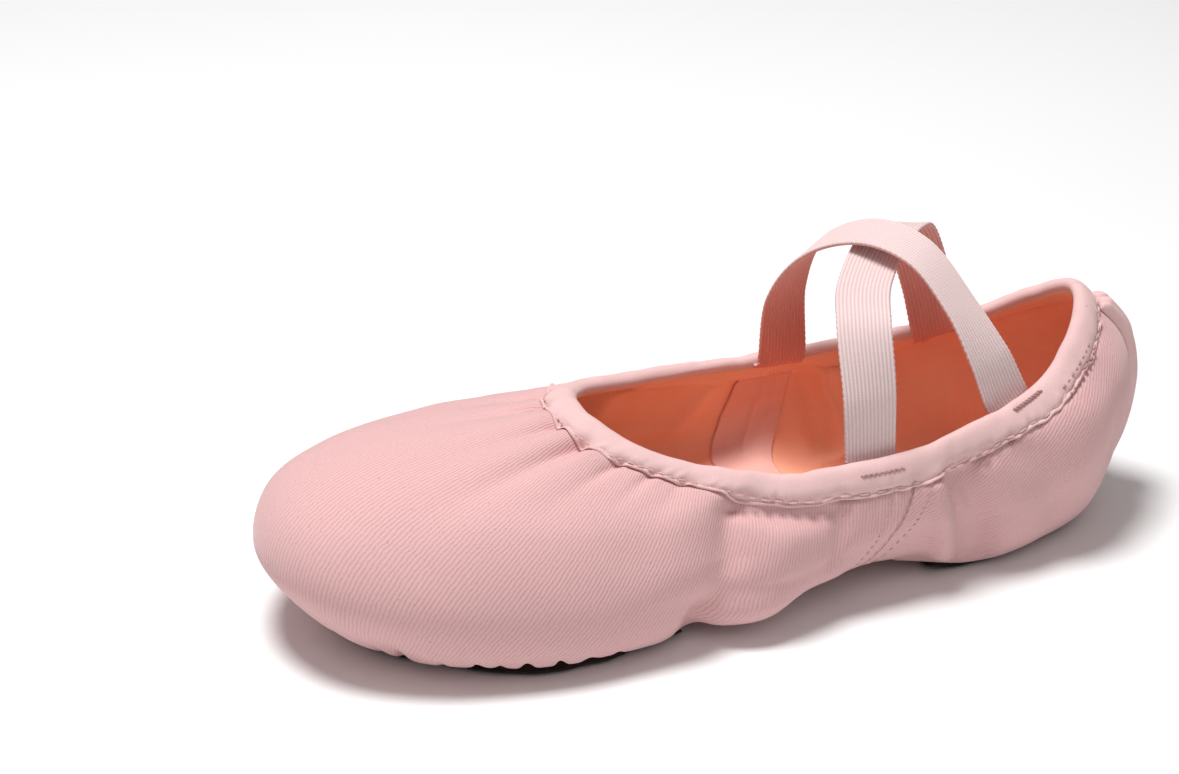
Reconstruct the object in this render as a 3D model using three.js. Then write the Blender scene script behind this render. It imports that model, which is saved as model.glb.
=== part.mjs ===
// Split-sole ballet slipper, one left-or-right shoe. Millimetres, +Z up, toe towards -Y, heel +Y.
// The wearer's left side is +X. The canvas upper is one smooth foot-shaped surface, and every
// layer (outsole, canvas, lining, insole, casing, stitching) is laid at its own depth on it.
import * as THREE from 'three';
import { mergeVertices } from 'three/addons/utils/BufferGeometryUtils.js';

// ---- driving dimensions ----
const GAP = 0.3;                // clearance between neighbouring layers
const PAD_GAP = 0.45;           // the same round the sole's tighter curves
const SOLE_TOP = 1.7;           // height of the canvas underside above the floor
const OUTSOLE_T = 1.25;         // suede pad thickness
const CANVAS_T = 1.0;
const LINING_T = 0.6;
const FOAM_T = 2.4;
const COVER_T = 0.8;
const CASING_DROP = 9.0;        // height of the folded casing round the opening
const CASING_T = 1.0;
const CORD_R = 0.95;            // drawcord radius
const CANVAS_EDGE = 4.6;        // canvas and lining stop this far below the casing's top
const THREAD_R = 0.3;
const STRAP_W = 14;
const STRAP_T = 1.3;
const STRAP_IN = 15;            // the strap ends reach this far below the casing's top
const TAPE_HALF = 0.3;          // half width of the seam tape, in stations
const FIN_T = 2.0;              // folded strip up the back seam

// depths below the canvas's outside face
const LINING_D = CANVAS_T + GAP;
const INNER_D = LINING_D + LINING_T;         // foot side of the lining
const FOAM_D = INNER_D + PAD_GAP;
const COVER_D = FOAM_D + FOAM_T + PAD_GAP;
const MID_D = INNER_D / 2;                   // middle of the canvas and lining together

// Half outline of the slipper, toe to heel. Each station lists sole centre, sole edge,
// widest point, shoulder and topline.
const STATIONS = [
  [[0, -84, 1.7], [0, -101, 3.7], [0, -119, 26], [0, -100, 45], [0, -35, 52]],
  [[0, -78, 1.7], [14, -96.5, 3.4], [23, -111, 25], [17, -96, 43.5], [9, -33, 51]],
  [[0, -66, 1.7], [27, -83, 3], [38, -90, 21.5], [30, -77, 40.5], [17.5, -26, 48]],
  [[0, -44, 1.7], [38, -57, 2], [45, -58.5, 18], [37.5, -48, 36.5], [24, -14, 44.5]],
  [[0, -16, 3], [36, -26, 2.7], [43.5, -24, 17.5], [37.5, -14, 33], [29, 0, 42]],
  [[0, 14, 9], [32, 14, 9], [39.5, 14, 18.5], [37, 14, 31.5], [31.5, 14, 41]],
  [[0, 32, 6], [26, 34, 7], [35, 39, 20], [35.5, 42, 31], [32, 43, 42]],
  [[0, 60, 1.7], [27, 64, 2], [33, 67, 19.5], [32.5, 66, 34], [27, 64, 45]],
  [[0, 74, 1.7], [21.5, 86, 2.3], [30, 90, 22], [28.5, 89.5, 39], [21, 82, 50]],
  [[0, 84, 1.7], [13, 101.5, 2.6], [17.5, 108.5, 25.5], [17.5, 108.3, 44.5], [12, 95, 59]],
  [[0, 88, 1.7], [0, 107, 3.6], [0, 117.5, 26], [0, 115.5, 48], [0, 101.5, 65]],
];
const HEEL = STATIONS.length - 1;            // station number of the back seam
const TURN = 2 * HEEL;                       // stations once round the shoe
const TOP = 4;                               // ring number of the topline
// side seam of each side, in stations, from sole centre to topline
const SEAM_LEFT = [5.5, 5.68, 5.85, 5.93, 5.98];
const SEAM_RIGHT = [5.5, 5.36, 5.46, 5.5, 5.53];

// ---- the foot-shaped surface ----
const spline = (a, b, c, d, t) =>
  0.5 * (2 * b + (c - a) * t + (2 * a - 5 * b + 4 * c - d) * t * t
    + (3 * b - a - 3 * c + d) * t * t * t);

function netPoint(station, ring) {
  const k = ((station % TURN) + TURN) % TURN;
  const [x, y, z] = STATIONS[k > HEEL ? TURN - k : k][ring];
  return [k > HEEL ? -x : x, y, z];
}

function ringPoint(u, ring) {
  const k = Math.floor(u);
  const p = [-1, 0, 1, 2].map((i) => netPoint(k + i, ring));
  return [0, 1, 2].map((a) => spline(p[0][a], p[1][a], p[2][a], p[3][a], u - k));
}

// u runs from the toe (0) round the left side to the heel (10) and back; v from the sole's
// centre line (0) to the topline (4).
function surface(u, v) {
  const j = Math.min(Math.floor(v), TOP - 1);
  const ring = (i) => {
    if (i < 0) return ringPoint(u, 0).map((c, a) => 2 * c - ringPoint(u, 1)[a]);
    if (i > TOP) return ringPoint(u, TOP).map((c, a) => 2 * c - ringPoint(u, TOP - 1)[a]);
    return ringPoint(u, i);
  };
  const p = [j - 1, j, j + 1, j + 2].map(ring);
  const at = [0, 1, 2].map((a) => spline(p[0][a], p[1][a], p[2][a], p[3][a], v - j));
  return new THREE.Vector3(at[0], at[1], Math.max(at[2], SOLE_TOP));
}

function outward(u, v) {
  const w = Math.min(Math.max(v, 0.06), TOP - 0.02);
  const along = surface(u + 0.02, w).sub(surface(u - 0.02, w));
  const up = surface(u, w + 0.02).sub(surface(u, w - 0.02));
  const n = along.cross(up).normalize();
  if (v < 0.01) n.setX(0).normalize();
  return n;
}

// point at height `out` above the canvas's outside face
const raised = (u, v, out) => surface(u, v).addScaledVector(outward(u, v), out);

// v of the point `drop` mm below the topline, measured along the canvas
function vBelowTop(u, drop) {
  let left = drop;
  let last = surface(u, TOP);
  for (let v = TOP - 0.025; v > 1; v -= 0.025) {
    const next = surface(u, v);
    const step = next.distanceTo(last);
    if (step >= left) return v + 0.025 * (1 - left / step);
    left -= step;
    last = next;
  }
  return 1;
}
const belowTop = (u, drop, out) => raised(u, vBelowTop(u, drop), out);

const along = (list, v) => {
  const j = Math.min(Math.floor(v), TOP - 1);
  return list[j] + (list[j + 1] - list[j]) * (v - j);
};
const seamLeft = (v) => along(SEAM_LEFT, v);
const seamRight = (v) => TURN - along(SEAM_RIGHT, v);

// ---- solid builders ----
class Solid {
  constructor() { this.xyz = []; this.faces = []; }
  add(p) { this.xyz.push(p.x, p.y, p.z); return this.xyz.length / 3 - 1; }
  quad(a, b, c, d) { this.faces.push(a, b, c, a, c, d); }
  geometry() {
    const g = new THREE.BufferGeometry();
    g.setAttribute('position', new THREE.Float32BufferAttribute(this.xyz, 3));
    g.setIndex(this.faces);
    return mergeVertices(g, 1e-3);
  }
}

// A sheet of even thickness: place(i, j, out) gives the point of grid cell corner (i, j).
// A folded sheet meets itself along j = 0, so it has no edge face there.
function sheet(nu, nv, place, outside, inside, folded = false) {
  const s = new Solid();
  const layer = (out) => Array.from({ length: nu + 1 }, (_, i) =>
    Array.from({ length: nv + 1 }, (_, j) => s.add(place(i / nu, j / nv, out))));
  const a = layer(outside);
  const b = layer(inside);
  for (let i = 0; i < nu; i++) {
    for (let j = 0; j < nv; j++) {
      s.quad(a[i][j], a[i + 1][j], a[i + 1][j + 1], a[i][j + 1]);
      s.quad(b[i][j], b[i][j + 1], b[i + 1][j + 1], b[i + 1][j]);
    }
    if (!folded) s.quad(a[i + 1][0], a[i][0], b[i][0], b[i + 1][0]);
    s.quad(a[i][nv], a[i + 1][nv], b[i + 1][nv], b[i][nv]);
  }
  for (let j = 0; j < nv; j++) {
    s.quad(a[0][j], a[0][j + 1], b[0][j + 1], b[0][j]);
    s.quad(a[nu][j + 1], a[nu][j], b[nu][j], b[nu][j + 1]);
  }
  return s.geometry();
}

// A sheet of the upper between two seams, up to the casing.
function panel(nu, nv, from, to, outside, inside, options = {}) {
  const { folded = false, side = 0 } = options;
  const place = (s, t, out) => {
    const guess = TOP * t;
    const u = from(guess) + (to(guess) - from(guess)) * s;
    const p = raised(u, vBelowTop(u, CANVAS_EDGE) * t, out);
    if (side) p.x = side * Math.max(side * p.x, GAP / 2);
    return p;
  };
  return sheet(nu, nv, place, outside, inside, folded);
}

// A pad under or over the sole, centred on station `middle`, as far as ring fraction `reach`.
// Its arch end lies `bow` stations further out at the sole's edge than at the centre line.
function pad(nu, middle, half, bow, reach, outside, inside) {
  const place = (s, t, out) =>
    raised(middle + (half + bow * t) * (2 * s - 1), reach * t, out);
  return sheet(nu, 4, place, outside, inside, true);
}

// A ring of equal outlines swept round the opening. The outline's points are [drop, out].
function ringSweep(steps, outline) {
  const s = new Solid();
  const rows = Array.from({ length: steps }, (_, i) =>
    outline.map(([drop, out]) => s.add(belowTop(TURN * i / steps, drop, out))));
  rows.forEach((row, i) => {
    const next = rows[(i + 1) % steps];
    row.forEach((p, j) => {
      const k = (j + 1) % row.length;
      s.quad(p, next[j], next[k], row[k]);
    });
  });
  return s.geometry();
}

// A round cord along a list of points.
function cord(points, radius, steps, sides) {
  const outline = new THREE.Shape(Array.from({ length: sides }, (_, i) => {
    const a = 2 * Math.PI * i / sides;
    return new THREE.Vector2(radius * Math.cos(a), radius * Math.sin(a));
  }));
  const g = new THREE.ExtrudeGeometry(outline, {
    steps, bevelEnabled: false, extrudePath: new THREE.CatmullRomCurve3(points),
  });
  g.deleteAttribute('normal');
  g.deleteAttribute('uv');
  return mergeVertices(g, 1e-3);
}

// A flat band along centre points, with its width direction given at each one.
function band(points, across, width, thickness, steps) {
  const path = new THREE.CatmullRomCurve3(points, false, 'centripetal');
  const turn = new THREE.CatmullRomCurve3(across, false, 'centripetal');
  const s = new Solid();
  const rows = Array.from({ length: steps + 1 }, (_, i) => {
    const t = i / steps;
    const p = path.getPoint(t);
    const ahead = path.getTangent(t);
    const side = turn.getPoint(t);
    side.addScaledVector(ahead, -side.dot(ahead)).normalize().multiplyScalar(width / 2);
    const face = new THREE.Vector3().crossVectors(ahead, side).setLength(thickness / 2);
    return [[-1, -1], [1, -1], [1, 1], [-1, 1]].map(([a, b]) =>
      s.add(p.clone().addScaledVector(side, a).addScaledVector(face, b)));
  });
  for (let i = 0; i < steps; i++) {
    for (let j = 0; j < 4; j++) {
      const k = (j + 1) % 4;
      s.quad(rows[i][j], rows[i][k], rows[i + 1][k], rows[i + 1][j]);
    }
  }
  s.quad(rows[0][3], rows[0][2], rows[0][1], rows[0][0]);
  s.quad(rows[steps][0], rows[steps][1], rows[steps][2], rows[steps][3]);
  return s.geometry();
}

// ---- the slipper ----
const group = new THREE.Group();
const paint = (color, roughness) =>
  new THREE.MeshStandardMaterial({ color, roughness, metalness: 0 });
const canvas = paint(0xe8bdb8, 0.9);
const lining = paint(0xe0705c, 0.95);
const suede = paint(0x2b2220, 0.95);
const foam = paint(0xf0d6cc, 1.0);
const cover = paint(0xecc4ba, 0.95);
const elastic = paint(0xefd3ce, 0.8);
const thread = paint(0xf0cdc8, 0.7);

function add(name, geometry, material) {
  geometry.computeVertexNormals();
  const mesh = new THREE.Mesh(geometry, material);
  mesh.name = name;
  group.add(mesh);
}

// suede pads, split at the arch; the ground face is flat
add('outsole_forefoot', pad(26, 0, 3.95, 0.22, 0.9, PAD_GAP + OUTSOLE_T, PAD_GAP), suede);
add('outsole_heel', pad(20, HEEL, 3.5, -0.12, 0.9, PAD_GAP + OUTSOLE_T, PAD_GAP), suede);

// canvas upper and its lining: a whole vamp, and two quarters joined up the back
const cut = 0.006;
const vampFrom = (v) => seamRight(v) - TURN;
for (const [layer, material, outside, inside] of [
  ['canvas', canvas, 0, -CANVAS_T],
  ['lining', lining, -LINING_D, -INNER_D],
]) {
  add(`vamp_${layer}`,
    panel(32, 10, vampFrom, seamLeft, outside, inside, { folded: true }), material);
  add(`quarter_${layer}_left`,
    panel(12, 10, (v) => seamLeft(v) + 2 * cut, () => HEEL, outside, inside, { side: 1 }), material);
  add(`quarter_${layer}_right`,
    panel(12, 10, () => HEEL, (v) => seamRight(v) - 2 * cut, outside, inside, { side: -1 }), material);
}

// seam tapes inside, over the side seams
for (const [side, seam] of [['left', seamLeft], ['right', seamRight]]) {
  const place = (s, t, out) => {
    const u = seam(1.2 + 2 * t) + TAPE_HALF * (2 * s - 1);
    return raised(u, 1.2 + (vBelowTop(u, STRAP_IN + 1.5) - 1.2) * t, out);
  };
  add(`side_seam_tape_${side}`, sheet(3, 10, place, -FOAM_D, -FOAM_D - 0.5), lining);
}

// folded strip over the back seam
{
  const place = (s, t, out) => {
    const u = HEEL + 0.26 * (2 * s - 1);
    return raised(u, 1.25 + (vBelowTop(u, CASING_DROP + 1.2) - 1.25) * t, out);
  };
  add('heel_seam_strip', sheet(4, 9, place, GAP + FIN_T, GAP), canvas);
}

// folded casing round the opening: open below, hollow at the top for the drawcord
{
  const outer = GAP + CASING_T;
  const inner = -INNER_D - GAP - CASING_T;
  const outline = [
    [CASING_DROP, outer - 0.1], [3.4, outer], [1.5, outer - 0.35], [0.4, outer - 1.1],
    [0, -MID_D], [0.4, inner + 1.1], [1.5, inner + 0.35], [3.4, inner], [CASING_DROP - 1, inner],
    [CASING_DROP - 1, inner + CASING_T], [3.2, inner + CASING_T], [1.9, inner + 1.25],
    [1.15, -MID_D - 0.5], [1.15, -MID_D + 0.5], [1.9, outer - 1.25], [3.2, outer - CASING_T],
    [CASING_DROP, outer - CASING_T],
  ];
  add('topline_casing', ringSweep(56, outline), canvas);
}

// elastic drawcord inside the casing, its ends meeting at the throat
{
  const points = Array.from({ length: 49 }, (_, i) =>
    belowTop(0.12 + (TURN - 0.24) * i / 48, 2.85, -MID_D));
  add('drawcord', cord(points, CORD_R, 64, 6), elastic);
}

// stitched rows: one under the casing, and one each side of both side seams
{
  const points = Array.from({ length: 61 }, (_, i) =>
    belowTop(0.02 + (TURN - 0.04) * i / 60, CASING_DROP + 0.75, 2 * THREAD_R + 0.05));
  add('topline_stitching', cord(points, THREAD_R, 68, 4), thread);
  for (const [side, seam] of [['left', seamLeft], ['right', seamRight]]) {
    for (const [row, shift] of [['front', -0.2], ['back', 0.2]]) {
      const away = side === 'left' ? shift : -shift;
      const line = Array.from({ length: 9 }, (_, i) => {
        const u = seam(1.2 + 2 * i / 8) + away;
        return raised(u, 1.2 + (vBelowTop(u, CASING_DROP + 2.4) - 1.2) * i / 8, 2 * THREAD_R);
      });
      add(`side_seam_stitching_${side}_${row}`, cord(line, THREAD_R, 20, 4), thread);
    }
  }
}

// padded insole, in two parts like the outsole: foam under a fabric cover
for (const [place, middle, half, bow] of [['forefoot', 0, 3.85, 0.2], ['heel', HEEL, 3.1, 0]]) {
  add(`insole_foam_${place}`,
    pad(22, middle, half, bow, 0.78, -FOAM_D, -FOAM_D - FOAM_T), foam);
  add(`insole_cover_${place}`,
    pad(22, middle, half, bow, 0.78, -COVER_D, -COVER_D - COVER_T), cover);
}

// two crossing elastic straps, their ends sewn inside the upper under the casing.
// Inside, they lie against the casing's inner wall.
const strapDepth = INNER_D + 2 * GAP + CASING_T + STRAP_T / 2 + 0.35;
const V3 = (x, y, z) => new THREE.Vector3(x, y, z);
const FRONT = 5.58;                          // stations of the strap ends
const REAR = 7.5;
const REAR_SET = 0.6;                        // extra depth where the casing curves to the heel
function strap(side, arch, widths) {
  const round = (u) => (side > 0 ? u : TURN - u);
  const points = [
    ...[[-0.02, STRAP_IN], [0, 8], [0.02, 1]].map(([back, drop]) =>
      belowTop(round(FRONT + back), drop, -strapDepth)),
    ...arch.map(([x, y, z]) => V3(side * x, y, z)),
    ...[[0, 1], [0.08, 8], [0.15, STRAP_IN]].map(([back, drop]) =>
      belowTop(TURN - round(REAR + back), drop, -strapDepth - REAR_SET)),
  ];
  const across = widths.map(([x, y, z]) => V3(side * x, y, z));
  return band(points, across, STRAP_W, STRAP_T, 44);
}
const flat = [0, 1, 0];
add('strap_under', strap(1,
  [[28.5, 30.5, 58], [20.5, 31.8, 73], [3.5, 39.5, 75.5], [-14, 54, 80], [-22.5, 63, 76.5], [-24, 70.2, 60]],
  [flat, flat, flat, [0.1, 1, 0.1], [0.4, 0.9, 0], [0.62, 0.79, 0], [0.55, 0.83, 0],
    [0.4, 0.9, 0], [0.25, 0.97, 0.2], [0.15, 1, 0.2], [0.2, 1, 0.3], [0.2, 1, 0.3]]), elastic);
add('strap_over', strap(-1,
  [[29.5, 32.5, 59], [24.5, 37.5, 73.5], [11, 46.5, 82.4], [-3, 54.5, 81.4], [-14, 61.5, 70.2], [-20.5, 67, 58]],
  [flat, flat, flat, [0.3, 0.95, 0.1], [0.6, 0.8, 0.1], [0.66, 0.75, 0.1], [0.66, 0.75, 0.05],
    [0.6, 0.8, 0], [0.4, 0.9, 0.1], [0.25, 0.95, 0.2], [0.2, 1, 0.3], [0.2, 1, 0.3]]), elastic);

// bar tacks through the casing that hold the strap ends
for (const [end, station, drop] of [['front', FRONT, 3.6], ['rear', REAR, 2.8]]) {
  for (const [side, u] of [['left', station], ['right', TURN - station]]) {
    const place = (s, t, out) => belowTop(u + 0.2 * (2 * s - 1), drop + 1.4 * (1 - t), out);
    add(`strap_tack_${end}_${side}`,
      sheet(4, 1, place, 2 * GAP + CASING_T + 0.5, 2 * GAP + CASING_T), thread);
  }
}

// stand the slipper on the floor, centred
const box = new THREE.Box3().setFromObject(group);
const middle = box.getCenter(V3(0, 0, 0));
group.children.forEach((mesh) => mesh.geometry.translate(-middle.x, -middle.y, -box.min.z));

export default group;
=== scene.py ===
"""Looks of the ballet slipper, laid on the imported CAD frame. Lengths are in millimetres until
the meshes are made, and metres in Blender."""
import math

import bmesh
import bpy
import numpy as np
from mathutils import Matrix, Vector


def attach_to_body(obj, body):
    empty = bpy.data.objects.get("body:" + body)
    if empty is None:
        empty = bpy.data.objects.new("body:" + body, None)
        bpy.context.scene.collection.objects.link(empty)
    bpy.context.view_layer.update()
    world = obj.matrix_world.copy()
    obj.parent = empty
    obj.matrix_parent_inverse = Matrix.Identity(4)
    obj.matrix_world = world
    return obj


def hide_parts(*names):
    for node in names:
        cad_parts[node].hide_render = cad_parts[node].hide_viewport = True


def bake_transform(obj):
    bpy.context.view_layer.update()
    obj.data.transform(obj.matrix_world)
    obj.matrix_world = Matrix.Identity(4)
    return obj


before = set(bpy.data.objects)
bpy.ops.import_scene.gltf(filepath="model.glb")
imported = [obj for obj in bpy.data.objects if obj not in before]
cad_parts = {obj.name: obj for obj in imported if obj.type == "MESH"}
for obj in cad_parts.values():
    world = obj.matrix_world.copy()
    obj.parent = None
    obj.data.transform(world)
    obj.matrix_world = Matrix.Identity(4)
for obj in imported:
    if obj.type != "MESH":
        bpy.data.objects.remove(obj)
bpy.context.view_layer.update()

# ---------------------------------------------------------------- the foot-shaped surface
# Toe to heel; each station lists sole centre, sole edge, widest point, shoulder, topline.
STATIONS = np.array([
    [[0, -84, 1.7], [0, -101, 3.7], [0, -119, 26], [0, -100, 45], [0, -35, 52]],
    [[0, -78, 1.7], [14, -96.5, 3.4], [23, -111, 25], [17, -96, 43.5], [9, -33, 51]],
    [[0, -66, 1.7], [27, -83, 3], [38, -90, 21.5], [30, -77, 40.5], [17.5, -26, 48]],
    [[0, -44, 1.7], [38, -57, 2], [45, -58.5, 18], [37.5, -48, 36.5], [24, -14, 44.5]],
    [[0, -16, 3], [36, -26, 2.7], [43.5, -24, 17.5], [37.5, -14, 33], [29, 0, 42]],
    [[0, 14, 9], [32, 14, 9], [39.5, 14, 18.5], [37, 14, 31.5], [31.5, 14, 41]],
    [[0, 32, 6], [26, 34, 7], [35, 39, 20], [35.5, 42, 31], [32, 43, 42]],
    [[0, 60, 1.7], [27, 64, 2], [33, 67, 19.5], [32.5, 66, 34], [27, 64, 45]],
    [[0, 74, 1.7], [21.5, 86, 2.3], [30, 90, 22], [28.5, 89.5, 39], [21, 82, 50]],
    [[0, 84, 1.7], [13, 101.5, 2.6], [17.5, 108.5, 25.5], [17.5, 108.3, 44.5], [12, 95, 59]],
    [[0, 88, 1.7], [0, 107, 3.6], [0, 117.5, 26], [0, 115.5, 48], [0, 101.5, 65]],
], float)
RING = np.concatenate([STATIONS, STATIONS[1:-1][::-1] * (-1, 1, 1)])
HEEL, TURN, TOP = 10, 20, 4
SOLE_TOP = 1.7
SHIFT = np.array([0, 0.28, 0])        # from the net's origin to the CAD frame's

CANVAS_T, LINING_D, INNER_D = 1.0, 1.3, 1.9
EDGE_DROP = 4.1                       # canvas and lining end this far below the topline
FLEX = ((0, -0.010, 0.009), (0, 0.038, 0.009))


def spline(a, b, c, d, t):
    return 0.5 * (2 * b + (c - a) * t + (2 * a - 5 * b + 4 * c - d) * t ** 2
                  + (3 * b - a - 3 * c + d) * t ** 3)


def surface(u, v):
    u, v = np.broadcast_arrays(np.asarray(u, float), np.asarray(v, float))
    i = np.floor(u).astype(int)
    rows = spline(RING[(i - 1) % TURN], RING[i % TURN], RING[(i + 1) % TURN],
                  RING[(i + 2) % TURN], (u - i)[..., None, None])
    rows = np.concatenate([2 * rows[..., :1, :] - rows[..., 1:2, :], rows,
                           2 * rows[..., -1:, :] - rows[..., -2:-1, :]], axis=-2)
    j = np.clip(np.floor(v).astype(int), 0, TOP - 1)

    def ring(k):
        return np.take_along_axis(rows, (j + k)[..., None, None], axis=-2)[..., 0, :]
    p = spline(ring(0), ring(1), ring(2), ring(3), (v - j)[..., None])
    z = p[..., 2] - SOLE_TOP
    p[..., 2] = SOLE_TOP + 0.5 * (z + np.sqrt(z * z + 0.25))
    return p


def normal(u, v):
    u, v = np.broadcast_arrays(np.asarray(u, float), np.asarray(v, float))
    w = np.clip(v, 0.06, TOP - 0.02)
    n = np.cross(surface(u + 0.02, w) - surface(u - 0.02, w),
                 surface(u, w + 0.02) - surface(u, w - 0.02))
    n = np.where((v < 0.01)[..., None], n * (0, 1, 1), n)
    return n / np.linalg.norm(n, axis=-1, keepdims=True)


# tables: drop below the topline at (u, v), and its inverse
_TU = np.linspace(0, TURN, 401)
_TV = np.linspace(0.5, TOP, 141)
_S = surface(_TU[:, None], _TV[None, :])
_STEP = np.linalg.norm(np.diff(_S, axis=1), axis=2)
_DROP = np.concatenate([np.cumsum(_STEP[:, ::-1], axis=1)[:, ::-1], np.zeros((401, 1))], axis=1)
_SS = np.linspace(0, 60, 241)
_VOFS = np.array([np.interp(_SS, row[::-1], _TV[::-1]) for row in _DROP])


def lookup(table, x, y, x_max, y_min, y_max):
    x, y = np.broadcast_arrays(np.mod(x, x_max), y)
    fx = x / x_max * (table.shape[0] - 1)
    fy = (np.clip(y, y_min, y_max) - y_min) / (y_max - y_min) * (table.shape[1] - 1)
    i = np.clip(fx.astype(int), 0, table.shape[0] - 2)
    j = np.clip(fy.astype(int), 0, table.shape[1] - 2)
    a, b = fx - i, fy - j
    return ((1 - a) * (1 - b) * table[i, j] + a * (1 - b) * table[i + 1, j]
            + (1 - a) * b * table[i, j + 1] + a * b * table[i + 1, j + 1])


def v_at(u, drop):
    return lookup(_VOFS, u, drop, TURN, 0, 60)


def drop_at(u, v):
    return lookup(_DROP, u, v, TURN, 0.5, TOP)


def arc_table(drop):
    p = surface(_TU, v_at(_TU, drop))
    return np.concatenate([[0], np.cumsum(np.linalg.norm(np.diff(p, axis=0), axis=1))])


_ARC = arc_table(9.0)
ROUND = _ARC[-1]                      # length once round under the casing
_SOLE = surface(_TU, 1.0)
_EDGE = np.concatenate([[0], np.cumsum(np.linalg.norm(np.diff(_SOLE, axis=0), axis=1))])


def signed(table, u):
    """Length along a ring from the toe, positive down the left side, negative down the right."""
    a = np.interp(np.mod(u, TURN), _TU, table)
    return np.where(a > table[-1] / 2, a - table[-1], a)


def smooth(t, a, b):
    t = np.clip((t - a) / (b - a), 0, 1)
    return t * t * (3 - 2 * t)


def window(t, a, b, soft):
    return smooth(t, a - soft, a + soft) * (1 - smooth(t, b - soft, b + soft))


def hump(t, centre, width):
    return np.exp(-((t - centre) / width) ** 2)


def noise(x, seed):
    """Smooth repeatable noise from -1 to 1, one bump per unit."""
    knots = np.random.default_rng(seed).uniform(-1, 1, 1024)
    i = np.floor(x).astype(int)
    f = x - i
    f = f * f * (3 - 2 * f)
    return knots[i % 1024] * (1 - f) + knots[(i + 1) % 1024] * f


def noise2(x, y, seed):
    knots = np.random.default_rng(seed).uniform(-1, 1, (64, 64))
    i, j = np.floor(x).astype(int), np.floor(y).astype(int)
    a, b = x - i, y - j
    a, b = a * a * (3 - 2 * a), b * b * (3 - 2 * b)
    return ((1 - a) * (1 - b) * knots[i % 64, j % 64] + a * (1 - b) * knots[(i + 1) % 64, j % 64]
            + (1 - a) * b * knots[i % 64, (j + 1) % 64] + a * b * knots[(i + 1) % 64, (j + 1) % 64])


SEAM = {1: [5.5, 5.68, 5.85, 5.93, 5.98], -1: [5.5, 5.36, 5.46, 5.5, 5.53]}


def seam(side, v):
    """Station of the side seam, as a distance from the toe."""
    return np.interp(v, range(5), SEAM[side])


def ditch(a):
    """How the stitched line under the casing wanders, by length round the opening."""
    return 0.45 * noise(a / 7.0, 3) + 0.35 * noise(a / 2.9, 4)


# Gathers at the throat: place along the casing, height, half width, length.
THROAT = [(-58, -0.7, 1.8, 7), (-48, 0.7, 2.6, 9), (-41, -1.1, 1.6, 10), (-33, -1.4, 1.6, 12),
          (-24, -2.1, 1.8, 18), (-19, 1.1, 2.6, 16), (-13, -1.5, 1.5, 13), (-5, -2.1, 1.5, 14),
          (1, 1.3, 2.4, 15), (6, -1.6, 1.3, 12), (10, 0.9, 2.2, 20), (15, -2.6, 1.7, 24),
          (20, 1.2, 2.6, 20), (25.5, -1.6, 1.4, 10), (34, -1.2, 1.5, 8), (42, -0.7, 1.6, 6)]
# Pleats where the canvas is drawn under the toe: place along the sole's edge, depth.
_rng = np.random.default_rng(11)
PLEATS = [(x + _rng.uniform(-2.2, 2.2), _rng.uniform(0.8, 2.3), _rng.uniform(0.9, 1.8))
          for x in np.arange(-92, 93, 7.6)]


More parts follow.
